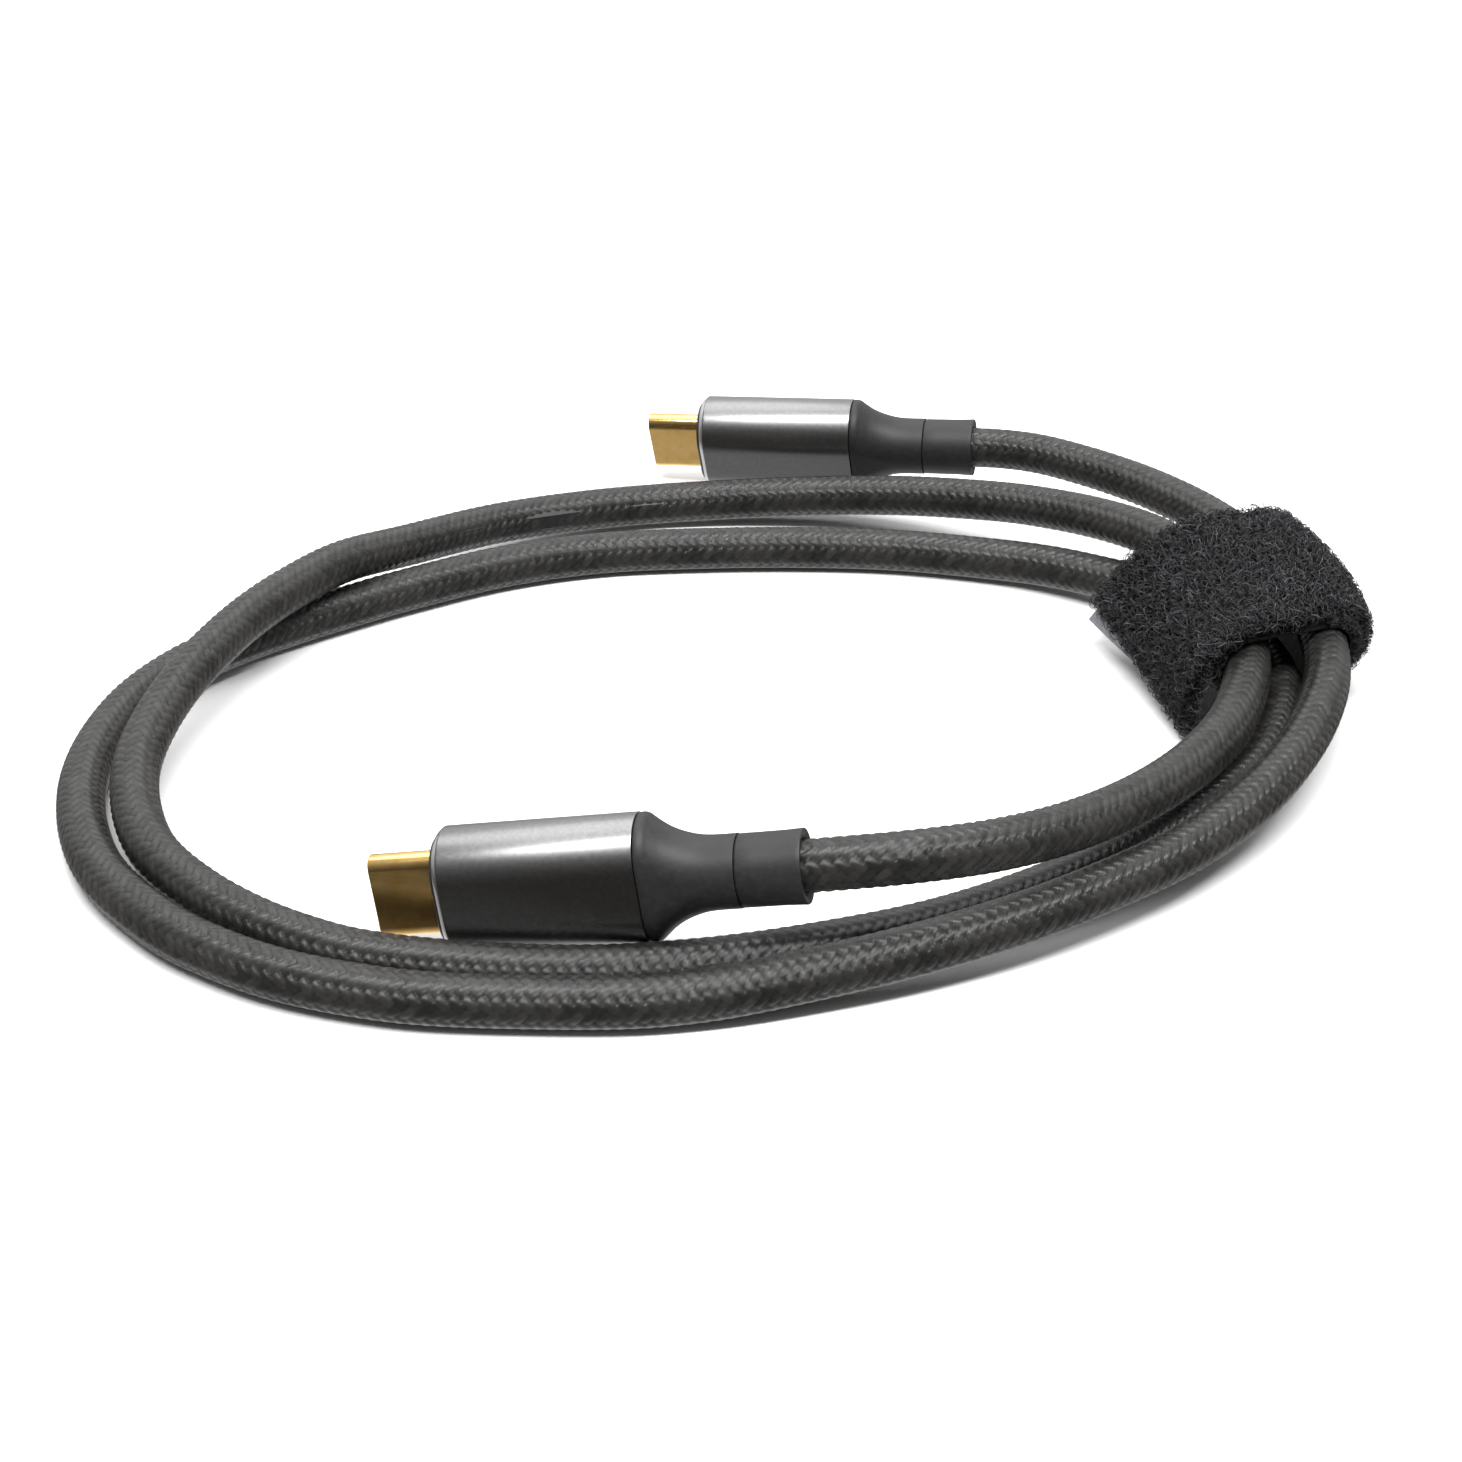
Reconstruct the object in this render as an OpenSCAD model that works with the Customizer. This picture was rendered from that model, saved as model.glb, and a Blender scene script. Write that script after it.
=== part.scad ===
// Braided charging cable with two reversible plugs, coiled and held by a hook-and-loop strap.
// Units are millimetres, +Z is up, the cable lies on the plane z = 0.

/* [Plug shell] */
// Width of the metal plug shell across its flat sides
shell_w = 8.34; // [8.2:0.02:8.5]
// Thickness of the metal plug shell
shell_t = 2.56; // [2.4:0.02:2.7]
// Wall of the drawn shell
shell_wall = 0.3; // [0.2:0.05:0.4]
// How far the shell stands out of the housing front plane
shell_out = 7.65; // [6.2:0.05:8]
// Pitch of the contacts in one row
contact_pitch = 0.5; // [0.4:0.05:0.6]
// Contacts in one row
contact_count = 12; // [4:1:12]

/* [Housing] */
// Width of the aluminium housing
housing_w = 12.6; // [11:0.1:13]
// Thickness of the aluminium housing
housing_t = 8.6; // [6.5:0.1:9]
// Length of the aluminium housing
housing_l = 18.7; // [14:0.1:24]
// Wall of the aluminium housing
housing_wall = 0.7; // [0.5:0.1:1.2]
// Length of the bright front chamfer
chamfer_l = 0.6; // [0.2:0.1:1]

/* [Strain relief] */
// Outer diameter of the round neck of the relief
neck_d = 7.0; // [6:0.1:8]
// Distance from the housing front plane to the seam in the relief
seam_x = 27.7; // [24:0.1:30]
// Distance from the housing front plane to the end of the relief
relief_end = 33.9; // [30:0.1:38]
// Bore of the relief sleeve round the cable
sleeve_bore = 5.2; // [5:0.1:6]

/* [Cable] */
// Diameter over the corners of the braided sleeve
braid_d = 4.96; // [4:0.02:5.2]
// Diameter over the corners of the inner jacket
jacket_d = 4.2; // [3.5:0.1:4.4]
// Diameter over the corners of the metal screen
screen_d = 3.1; // [2.6:0.1:3.4]
// Diameter over the corners of the conductor bundle
core_d = 2.5; // [2:0.1:2.8]

/* [Strap] */
// Thickness of the hook layer
hook_t = 0.4; // [0.3:0.05:0.5]
// Thickness of the loop pile layer
pile_t = 0.55; // [0.4:0.05:0.6]
// Free radius of the strap round each strand
strand_r = 2.66; // [2.64:0.01:2.7]

/* [Hidden] */
$fn = 48;

gap = 0.05;
layer_gap = 0.03;
far_at = [-20.5, 59.2, 6.1];
far_turn = [23, -3, -11.4];
near_at = [-44, -54.3, 6.2];
near_turn = [-5.4, -9.8, -9.3];

// Point on the axis of a plug at distance x behind its housing front plane
function on_axis(at, turn, x) = at + x * [cos(turn[1]) * cos(turn[2]), cos(turn[1]) * sin(turn[2]), -sin(turn[1])];

// Centre line of the cable, from the far plug to the near plug
lay = [
  [16.7, 51.6, 8], [20.8, 49.5, 8.2], [24.7, 46.4, 8.3], [28.6, 42.7, 8.4], [33.4, 37.2, 8.5],
  [38.8, 29, 8.5], [43, 18.6, 8.5], [45.8, 8, 8.4], [46.6, -2, 8.2], [45.8, -11, 7.8],
  [43.5, -19, 7.2], [40, -26.6, 6.4], [35, -34.4, 5.6], [29, -41.4, 5], [22.5, -47.4, 4.8],
  [11, -55.4, 4.5], [-1, -61.2, 3.9], [-13.8, -65.4, 3.1], [-22, -67.2, 2.6], [-30, -67.9, 2.5],
  [-44, -67.4, 2.5], [-52, -65.9, 2.5], [-59.8, -63.1, 2.5], [-66.4, -59.1, 2.5], [-71.8, -54.6, 2.5],
  [-78.5, -46.2, 2.5], [-82.4, -37.6, 2.5], [-84.6, -28, 2.5], [-84.8, -18, 2.5], [-83, -8, 2.5],
  [-79, 0.6, 2.5], [-73.8, 7, 2.5], [-68, 12.2, 2.5], [-62.2, 16.8, 2.5], [-56.2, 21.2, 2.5],
  [-45.4, 27.8, 2.5], [-34, 31.8, 2.5], [-21.8, 33.2, 2.5], [-9.6, 33.5, 2.5], [2.5, 32.6, 2.5],
  [14.4, 29.6, 2.6], [20.6, 26.8, 2.9], [26.4, 22.9, 3.2], [32, 17.8, 3.8], [36.8, 11.8, 3.8],
  [40.2, 5, 3.8], [41.7, -3, 3.8], [41, -11.5, 3.8], [38.2, -20.4, 3.3], [33, -28.6, 2.8],
  [25.4, -36.5, 2.5], [18, -43.2, 2.5], [10.2, -49.2, 2.5], [0, -55, 2.5], [-12, -59.3, 2.5],
  [-22, -61.7, 2.5], [-32, -62.7, 2.5], [-43, -62.1, 2.6], [-52, -60.4, 2.7], [-58, -57.9, 2.9],
  [-63.4, -54.7, 3.2], [-68.9, -50, 3.5], [-74.2, -43.4, 3.8], [-77.4, -35.8, 4.4], [-78.8, -27.6, 5.2],
  [-78.2, -19.6, 6.2], [-76.4, -11.8, 7.2], [-74, -4.4, 7.8], [-71.2, 3, 8], [-67.6, 10.2, 8],
  [-63, 18.2, 7.5], [-56.8, 27, 5.6], [-46.6, 38.6, 3.5], [-34.4, 45, 2.7], [-21.9, 47.2, 2.8],
  [-9.3, 46.8, 3.6], [2.8, 44.2, 4.8], [14.4, 38.6, 6.4], [20.6, 34, 7.4], [26.2, 28.4, 8.4],
  [31.2, 22, 9.1], [35, 14.4, 9.3], [37.2, 6, 8.9], [37.9, -2, 8.5], [37.4, -10, 8.4],
  [35.5, -18.4, 8.3], [32.3, -26.4, 8.3], [28, -33.8, 8.6], [22.8, -40.8, 9.2], [17.2, -47.2, 10.2],
  [11.8, -52.4, 11.3], [6.6, -56.4, 12.3], [2, -58.8, 12.9], [-2.6, -60.2, 13.1], [-7, -60.3, 12.7]
];
route = concat(
  [on_axis(far_at, far_turn, 20), on_axis(far_at, far_turn, 27), on_axis(far_at, far_turn, relief_end)],
  lay,
  [on_axis(near_at, near_turn, relief_end), on_axis(near_at, near_turn, 27), on_axis(near_at, near_turn, 20)]
);

function unit(v) = v / norm(v);
function heading(p, i) = unit(p[min(i + 1, len(p) - 1)] - p[max(i - 1, 0)]);
function across(p, i) = unit(cross(heading(p, i), [0, 0, 1]));
// One ring of n points of radius r at point i of path p
function ring(p, i, r, n) = [for (k = [0:n - 1])
  p[i] + r * cos(360 * (k + 0.5) / n) * across(p, i)
       + r * sin(360 * (k + 0.5) / n) * cross(across(p, i), heading(p, i))];

// Closed skin through rings of n points; wrap joins the last ring back to the first.
// The second half of a wrapped skin runs back inside the first and is cut along the same diagonals
module skin(rings, wrap) {
  m = len(rings);
  n = len(rings[0]);
  last = wrap ? m - 1 : m - 2;
  sides = [for (i = [0:last]) for (k = [0:n - 1])
    let (a = i * n + k, b = i * n + (k + 1) % n, c = ((i + 1) % m) * n + (k + 1) % n, d = ((i + 1) % m) * n + k)
    each (wrap && i >= m / 2 ? [[a, b, d], [b, c, d]] : [[a, b, c], [a, c, d]])];
  ends = wrap ? [] : concat(
    [for (k = [1:n - 2]) [0, k + 1, k]],
    [for (k = [1:n - 2]) [(m - 1) * n, (m - 1) * n + k, (m - 1) * n + k + 1]]);
  polyhedron(points = [for (r = rings) each r], faces = concat(sides, ends), convexity = 10);
}

// Tube of outer radius ro and inner radius ri along path p
module pipe(p, ro, ri, n) {
  m = len(p);
  skin(concat(
    [for (i = [0:m - 1]) ring(p, i, ro, n)],
    [for (i = [0:m - 1]) ring(p, m - 1 - i, ri, n)]), true);
}

// Slab between two grids of points with the same layout
module slab(top, under) {
  s = len(top);
  m = len(top[0]);
  q = s * m;
  f_top = [for (i = [0:s - 2]) for (k = [0:m - 2]) for (h = [0:1])
    h == 0 ? [i * m + k, i * m + k + 1, (i + 1) * m + k + 1] : [i * m + k, (i + 1) * m + k + 1, (i + 1) * m + k]];
  f_under = [for (f = f_top) [q + f[2], q + f[1], q + f[0]]];
  rim = concat(
    [for (k = [0:m - 2]) [k, k + 1]],
    [for (i = [0:s - 2]) [i * m + m - 1, (i + 1) * m + m - 1]],
    [for (k = [m - 1:-1:1]) [(s - 1) * m + k, (s - 1) * m + k - 1]],
    [for (i = [s - 1:-1:1]) [i * m, (i - 1) * m]]);
  f_rim = [for (e = rim) for (h = [0:1]) h == 0 ? [e[1], e[0], q + e[0]] : [e[1], q + e[0], q + e[1]]];
  polyhedron(points = concat([for (r = top) each r], [for (r = under) each r]),
    faces = concat(f_top, f_under, f_rim), convexity = 10);
}

// Plug frame: x runs from the nose to the cable, y is the thickness, z the width
module far_plug() { translate(far_at) rotate(far_turn) children(); }
module near_plug() { translate(near_at) rotate(near_turn) children(); }

// Flat-sided round section, w along z and t along y, from x0 to x1
module bar(w, t, x0, x1) {
  translate([x0, 0, 0]) rotate([90, 0, 90]) linear_extrude(height = x1 - x0) stadium(w, t);
}
module stadium(w, t) {
  square([t, w - t], center = true);
  translate([0, (w - t) / 2]) circle(d = t);
  translate([0, -(w - t) / 2]) circle(d = t);
}
module rod(r, x0, x1) {
  translate([x0, 0, 0]) rotate([0, 90, 0]) cylinder(r = r, h = x1 - x0);
}
module block(x0, x1, y0, y1, z0, z1) {
  translate([x0, y0, z0]) cube([x1 - x0, y1 - y0, z1 - z0]);
}

carrier_w = shell_w - 2 * shell_wall - 2 * gap;
carrier_t = shell_t - 2 * shell_wall - 2 * gap;
bore_w = housing_w - 2 * housing_wall;
bore_t = housing_t - 2 * housing_wall;

// Drawn shell with a slightly drawn-in lip
module shell_form() {
  difference() {
    union() {
      bar(shell_w, shell_t, -shell_out + 0.3, 3);
      bar(shell_w - 0.24, shell_t - 0.24, -shell_out, -shell_out + 0.3);
    }
    bar(shell_w - 2 * shell_wall, shell_t - 2 * shell_wall, -shell_out - 1, 4);
  }
}
// Moulded carrier with the slot that receives the mating tongue
module carrier_form() {
  difference() {
    bar(carrier_w, carrier_t, -shell_out + 0.35, 2.9);
    block(-shell_out - 1, 0.6, -0.76, 0.76, -3.3, 3.3);
    block(0.5, 4, -0.16, 0.16, -3.3, 3.3);
    block(0.5, 4, 0.4, 0.7, -3, 3);
    block(0.5, 4, -0.7, -0.4, -3, 3);
  }
}
// Row of spring contacts joined by their tie bar
module contact_form(side) {
  span = contact_pitch * (contact_count - 1);
  for (i = [0:contact_count - 1]) {
    z = -span / 2 + i * contact_pitch;
    block(-shell_out + 0.9, 4.6, side * 0.57 - 0.08, side * 0.57 + 0.08, z - 0.12, z + 0.12);
  }
  block(2.2, 2.6, side * 0.57 - 0.08, side * 0.57 + 0.08, -span / 2, span / 2);
}
// Side latch springs joined at the back
module latch_form() {
  block(0.9, 3.1, -0.1, 0.1, -3.2, 3.2);
  block(-shell_out + 0.8, 1, -0.1, 0.1, -3.2, -2.95);
  block(-shell_out + 0.8, 1, -0.1, 0.1, 2.95, 3.2);
}
module board_form() {
  block(3.5, 13, -0.4, 0.4, -4, 4);
}
module chip_form() {
  block(6, 8.6, 0.42, 1.2, -1.4, 1.4);
  block(9.6, 10.4, 0.42, 0.9, -2.6, -2.1);
  block(9.6, 10.4, 0.42, 0.9, 2.1, 2.6);
}
// Four insulated leads from the board to the cable, tied at the crimp
module leads_form() {
  for (z = [-1.35, -0.45, 0.45, 1.35]) translate([0, 0.85, z]) rod(0.36, 11.4, 19.8);
  block(18.9, 19.8, -0.2, 1.1, -1.4, 1.4);
}
module can_form() {
  difference() {
    bar(bore_w - 0.8, bore_t - 0.8, 3.15, 14.4);
    bar(bore_w - 1.4, bore_t - 1.4, 3.45, 14.1);
    bar(carrier_w - 0.6, 1.7, 3, 3.6);
    rod(2, 14, 15);
  }
}
module mould_form() {
  difference() {
    bar(bore_w - 0.2, bore_t - 0.2, 14.5, housing_l - 0.05);
    rod(2.1, 14, 20);
  }
}
// Dark front collar: a domed lip outside the housing and a spigot inside it
module bezel_form() {
  difference() {
    union() {
      bar(housing_w * 0.84, housing_t * 0.8, -1.05, -0.85);
      bar(housing_w * 0.88, housing_t * 0.84, -0.85, -0.65);
      bar(bore_w - 0.1, bore_t - 0.1, -0.65, 2.6);
    }
    bar(shell_w + 0.1, shell_t + 0.1, -2, 4);
  }
}
// Extruded housing with a cut chamfer at the front
module housing_form() {
  difference() {
    union() {
      bar(housing_w, housing_t, 0, housing_l);
      bar(housing_w - 0.5, housing_t - 0.5, -chamfer_l / 2, 0);
      bar(housing_w - 1, housing_t - 1, -chamfer_l, -chamfer_l / 2);
    }
    bar(bore_w, bore_t, -2, housing_l + 1);
  }
}
module ferrule_form() {
  difference() {
    union() {
      rod(2.9, housing_l + 0.2, 26);
      rod(3.2, housing_l + 0.2, housing_l + 0.8);
    }
    rod(2.56, housing_l, 27);
  }
}
// Sections of the relief as x, corner radius, half flat
relief_cut = [
  [18.75, 4.2, 2], [19.2, 4.24, 2], [19.6, 4.16, 1.95], [20, 4.02, 1.75], [20.5, 3.9, 1.45], [21.1, 3.78, 1.1],
  [22, 3.66, 0.7], [23, 3.57, 0.38], [24.2, 3.51, 0.12], [25.6, 3.5, 0.01], [27.65, 3.5, 0]
];
function oval(x, r, s, n) = [for (k = [0:n - 1])
  [x, -r * cos(360 * (k + 0.5) / n), r * sin(360 * (k + 0.5) / n) + (k < n / 2 ? s : -s)]];
// Moulded relief, oval at the housing and round at the neck
module relief_form() {
  m = len(relief_cut);
  k = neck_d / 7;
  skin(concat(
    [for (c = relief_cut) oval(c[0], c[1] * k, c[2], 32)],
    [oval(27.65, 2.95, 0, 32), oval(20, 2.95, 0, 32), oval(19.9, 3.3, 0, 32), oval(18.75, 3.3, 0, 32)]), true);
}
module sleeve_form() {
  rotate([0, 90, 0]) rotate_extrude() polygon([
    [sleeve_bore / 2, seam_x], [3.1, seam_x], [3.4, seam_x + 0.15], [3.45, seam_x + 0.6],
    [3.47, relief_end - 1.2], [3.55, relief_end - 0.25], [3.45, relief_end], [sleeve_bore / 2, relief_end]
  ]);
}

module plug_shell_a() { color("gold") far_plug() shell_form(); }
module contact_carrier_a() { color("dimgray") far_plug() carrier_form(); }
module upper_contacts_a() { color("goldenrod") far_plug() contact_form(1); }
module lower_contacts_a() { color("goldenrod") far_plug() contact_form(-1); }
module latch_plate_a() { color("silver") far_plug() latch_form(); }
module circuit_board_a() { color("green") far_plug() board_form(); }
module marker_chip_a() { color("black") far_plug() chip_form(); }
module wire_leads_a() { color("red") far_plug() leads_form(); }
module shield_can_a() { color("lightgray") far_plug() can_form(); }
module inner_mould_a() { color("whitesmoke") far_plug() mould_form(); }
module front_bezel_a() { color("darkslategray") far_plug() bezel_form(); }
module housing_sleeve_a() { color("slategray") far_plug() housing_form(); }
module crimp_ferrule_a() { color("peru") far_plug() ferrule_form(); }
module strain_relief_a() { color("dimgray") far_plug() relief_form(); }
module relief_sleeve_a() { color("dimgray") far_plug() sleeve_form(); }

module plug_shell_b() { color("gold") near_plug() shell_form(); }
module contact_carrier_b() { color("dimgray") near_plug() carrier_form(); }
module upper_contacts_b() { color("goldenrod") near_plug() contact_form(1); }
module lower_contacts_b() { color("goldenrod") near_plug() contact_form(-1); }
module latch_plate_b() { color("silver") near_plug() latch_form(); }
module circuit_board_b() { color("green") near_plug() board_form(); }
module marker_chip_b() { color("black") near_plug() chip_form(); }
module wire_leads_b() { color("red") near_plug() leads_form(); }
module shield_can_b() { color("lightgray") near_plug() can_form(); }
module inner_mould_b() { color("whitesmoke") near_plug() mould_form(); }
module front_bezel_b() { color("darkslategray") near_plug() bezel_form(); }
module housing_sleeve_b() { color("slategray") near_plug() housing_form(); }
module crimp_ferrule_b() { color("peru") near_plug() ferrule_form(); }
module strain_relief_b() { color("dimgray") near_plug() relief_form(); }
module relief_sleeve_b() { color("dimgray") near_plug() sleeve_form(); }

module braid_sleeve() { color("dimgray") pipe(route, braid_d / 2, jacket_d / 2 + gap, 8); }
module cable_jacket() { color("gray") pipe(route, jacket_d / 2, screen_d / 2 + gap, 8); }
module shield_screen() { color("silver") pipe(route, screen_d / 2, core_d / 2 + gap, 8); }
module conductor_core() { color("orange") skin([for (i = [0:len(route) - 1]) ring(route, i, core_d / 2, 8)], false); }

// Strap frame: u across the bundle, w along it, turned 25 degrees about the vertical
strap_at = [42, 8];
strap_turn = 25;
function strap_pt(u, w, z) = [
  strap_at[0] + u * cos(strap_turn) - w * sin(strap_turn),
  strap_at[1] + u * sin(strap_turn) + w * cos(strap_turn), z];
// Per section: w, lean, then u and z of the inner, lowest and outer strand.
// The lean widens a section where the strands cross it at a slant
bundle = [
  [-15, 0.65, -12.15, 8.4, -7.55, 3.8, -2.15, 8.05],
  [-9, 0.35, -8.75, 8.45, -4.6, 3.8, 0.85, 8.25],
  [-3, 0.2, -6.2, 8.7, -3.05, 3.8, 3.05, 8.4],
  [3, 0.15, -4.5, 9.05, -2.8, 3.8, 4.5, 8.45],
  [9, 0.15, -3.6, 9.3, -3.7, 3.8, 5.35, 8.5]
];
// Smooth rows through the rows of p, n steps to a span
function between(a, b, c, d, t) = (2 * b + (c - a) * t + (2 * a - 5 * b + 4 * c - d) * t * t
  + (3 * b - a - 3 * c + d) * t * t * t) / 2;
function smooth(p, n) = let (m = len(p)) concat(
  [for (i = [0:m - 2]) for (k = [0:n - 1]) between(
    i > 0 ? p[i - 1] : 2 * p[0] - p[1], p[i], p[i + 1],
    i < m - 2 ? p[i + 2] : 2 * p[m - 1] - p[m - 2], k / n)],
  [p[m - 1]]);
sections = smooth(bundle, 3);
// Points round strand number q of section b at radius r, from angle a0 to a1
function arc_pts(b, q, r, a0, a1, n) = [for (k = [0:n - 1]) let (a = a0 + (a1 - a0) * k / (n - 1))
  strap_pt(b[2 + 2 * q] + (r + b[1]) * cos(a), b[0], b[3 + 2 * q] + r * sin(a))];
function left_side(b) = 270 + atan2(b[5] - b[3], b[4] - b[2]);
function right_side(b) = 270 + atan2(b[7] - b[5], b[6] - b[4]);
function loop_ring(b, r) = concat(
  arc_pts(b, 0, r, 90, left_side(b), 8),
  arc_pts(b, 1, r, left_side(b), right_side(b), 8),
  arc_pts(b, 2, r, right_side(b), 450, 8));
module loop_form(r0, r1) {
  m = len(sections);
  skin(concat([for (b = sections) loop_ring(b, r1)], [for (i = [m - 1:-1:0]) loop_ring(sections[i], r0)]), true);
}
// Open layer over the outer and top faces, ending where the tail starts
tail_start = 124;
function over_ring(b, r) = concat(arc_pts(b, 2, r, -38, 90, 9), arc_pts(b, 0, r, 90, tail_start, 4));
module over_form(r0, r1) {
  slab([for (b = sections) over_ring(b, r1)], [for (b = sections) over_ring(b, r0)]);
}

r_hook = strand_r;
r_pile = r_hook + hook_t + layer_gap;
r_over_hook = r_pile + pile_t + 2 * gap;
r_over_pile = r_over_hook + hook_t + layer_gap;
r_top = r_over_pile + pile_t;

// Edges and middle line of the free tail, from the top of the bundle down to its cut end
tail_near = [[33.8, -12.4, 12], [32.4, -12.8, 10.5], [31.4, -12.9, 7.6], [30.8, -12.5, 4.4], [31.2, -11.6, 1.2]];
tail_mid = [[34.6, 1.2, 12.3], [32.4, 0.5, 10.9], [30.2, -0.1, 8.8], [28.6, -0.4, 6.2], [27.7, -0.4, 3.6]];
tail_far = [[31.9, 13.3, 12.9], [29.6, 12.8, 11.6], [27.6, 12.1, 10], [25.7, 11.4, 8], [24, 10.8, 6]];
function tail_pt(m, f) = tail_near[m] * (1 - f) * (1 - 2 * f) + tail_mid[m] * 4 * f * (1 - f)
  + tail_far[m] * f * (2 * f - 1);
function tail_normal(m, f) = let (a = max(m - 1, 0), b = min(m + 1, 4), g = max(f - 0.1, 0), h = min(f + 0.1, 1))
  unit(cross(tail_pt(m, h) - tail_pt(m, g), tail_pt(b, f) - tail_pt(a, f)));
function tail_grid(d) = [for (k = [0:8]) [for (m = [0:4]) tail_pt(m, k / 8) - d * tail_normal(m, k / 8)]];

module strap_band_hook() { color("slategray") loop_form(r_hook, r_hook + hook_t); }
module strap_band_pile() { color("black") loop_form(r_pile, r_pile + pile_t); }
module strap_overlap_hook() { color("slategray") over_form(r_over_hook, r_over_hook + hook_t); }
module strap_overlap_pile() { color("black") over_form(r_over_pile, r_top); }
module strap_tail_hook() { color("slategray") slab(tail_grid(pile_t + layer_gap), tail_grid(pile_t + layer_gap + hook_t)); }
module strap_tail_pile() { color("black") slab(tail_grid(0), tail_grid(pile_t)); }

plug_shell_a();
contact_carrier_a();
upper_contacts_a();
lower_contacts_a();
latch_plate_a();
circuit_board_a();
marker_chip_a();
wire_leads_a();
shield_can_a();
inner_mould_a();
front_bezel_a();
housing_sleeve_a();
crimp_ferrule_a();
strain_relief_a();
relief_sleeve_a();
plug_shell_b();
contact_carrier_b();
upper_contacts_b();
lower_contacts_b();
latch_plate_b();
circuit_board_b();
marker_chip_b();
wire_leads_b();
shield_can_b();
inner_mould_b();
front_bezel_b();
housing_sleeve_b();
crimp_ferrule_b();
strain_relief_b();
relief_sleeve_b();
braid_sleeve();
cable_jacket();
shield_screen();
conductor_core();
strap_band_hook();
strap_band_pile();
strap_overlap_hook();
strap_overlap_pile();
strap_tail_hook();
strap_tail_pile();
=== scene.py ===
"""Braided charging cable: two plugs, a coiled braided cord and a hook-and-loop strap."""
import math

import bpy
import numpy as np
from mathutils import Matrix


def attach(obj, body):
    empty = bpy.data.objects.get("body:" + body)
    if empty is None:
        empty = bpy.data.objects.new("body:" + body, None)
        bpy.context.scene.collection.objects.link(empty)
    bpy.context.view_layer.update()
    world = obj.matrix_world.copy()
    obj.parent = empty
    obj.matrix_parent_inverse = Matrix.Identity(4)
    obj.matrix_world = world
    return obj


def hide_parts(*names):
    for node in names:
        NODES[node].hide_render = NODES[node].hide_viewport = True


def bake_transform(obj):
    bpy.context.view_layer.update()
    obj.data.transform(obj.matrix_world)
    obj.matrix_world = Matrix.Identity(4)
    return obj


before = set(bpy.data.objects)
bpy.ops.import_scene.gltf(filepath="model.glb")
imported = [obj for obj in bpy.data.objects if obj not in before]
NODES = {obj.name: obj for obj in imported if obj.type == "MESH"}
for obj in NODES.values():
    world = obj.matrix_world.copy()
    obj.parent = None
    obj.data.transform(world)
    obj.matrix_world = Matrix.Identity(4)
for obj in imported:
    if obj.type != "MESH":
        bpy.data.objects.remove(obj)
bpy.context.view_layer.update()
MM = 0.001
ROOT = "cable"
TAIL = "strap_tail"
MIX_A, MIX_B, MIX_OUT = 6, 7, 2  # the colour sockets of a mix node

# sizes in mm
SHELL_W, SHELL_T = 8.34, 2.56  # the standard plug shell, which sets the scale
SHELL_OUT, SHELL_WALL = 7.65, 0.3
H_W, H_T, H_L, WALL = 12.6, 8.6, 18.7, 0.7  # housing: width, thickness, length, wall
SLEEVE_END = 33.9  # along the plug, where the cord leaves it
CORD_HELD = 20  # along the plug, where the cord ends inside


# ------------------------------------------------------------------ camera
cam_data = bpy.data.cameras.new("camera")
cam = bpy.data.objects.new("camera", cam_data)
bpy.context.scene.collection.objects.link(cam)
cam.location = (-0.018, -0.2891, 0.1453)
cam.rotation_euler = (math.radians(62.5), 0, 0)
cam_data.sensor_width = 36
cam_data.lens = 71.4
cam_data.clip_start = 0.01
cam_data.clip_end = 20
bpy.context.scene.camera = cam


# ------------------------------------------------------------------ helpers
def turn_matrix(turn):
    """Rotation about x, then y, then z, in degrees."""
    a, b, c = (math.radians(v) for v in turn)
    rx = np.array([[1, 0, 0], [0, math.cos(a), -math.sin(a)], [0, math.sin(a), math.cos(a)]])
    ry = np.array([[math.cos(b), 0, math.sin(b)], [0, 1, 0], [-math.sin(b), 0, math.cos(b)]])
    rz = np.array([[math.cos(c), -math.sin(c), 0], [math.sin(c), math.cos(c), 0], [0, 0, 1]])
    return rz @ ry @ rx


PLUGS = {
    "a": (np.array([-20.5, 59.2, 6.1]), turn_matrix((23, -3, -11.4))),
    "b": (np.array([-44, -54.3, 6.2]), turn_matrix((-5.4, -9.8, -9.3))),
}


def on_axis(which, x):
    at, m = PLUGS[which]
    return at + m @ np.array([x, 0, 0])


def make(name, verts, faces, mat, body=ROOT, smooth=True, sharp=None, mats=None, index=None):
    """A mesh object from points in mm; verts are in the row frame."""
    me = bpy.data.meshes.new(name)
    me.from_pydata((np.asarray(verts, float) * MM).tolist(), [], [list(map(int, f)) for f in faces])
    for m in mats or [mat]:
        me.materials.append(m)
    if index is not None:
        me.polygons.foreach_set("material_index", np.asarray(index, np.int32))
    if smooth:
        me.shade_smooth()
        if sharp:
            me.set_sharp_from_angle(angle=math.radians(sharp))
    me.update()
    ob = bpy.data.objects.new(name, me)
    bpy.context.scene.collection.objects.link(ob)
    if body:
        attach(ob, body)
    return ob


def grid_faces(m, n, wrap_m=False, wrap_n=True, base=0):
    """Quads of m rows of n points."""
    i = np.arange(m if wrap_m else m - 1)
    k = np.arange(n if wrap_n else n - 1)
    i, k = np.meshgrid(i, k, indexing="ij")
    i, k = i.ravel(), k.ravel()
    i2, k2 = (i + 1) % m, (k + 1) % n
    return np.stack([i * n + k, i * n + k2, i2 * n + k2, i2 * n + k], 1) + base


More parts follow.
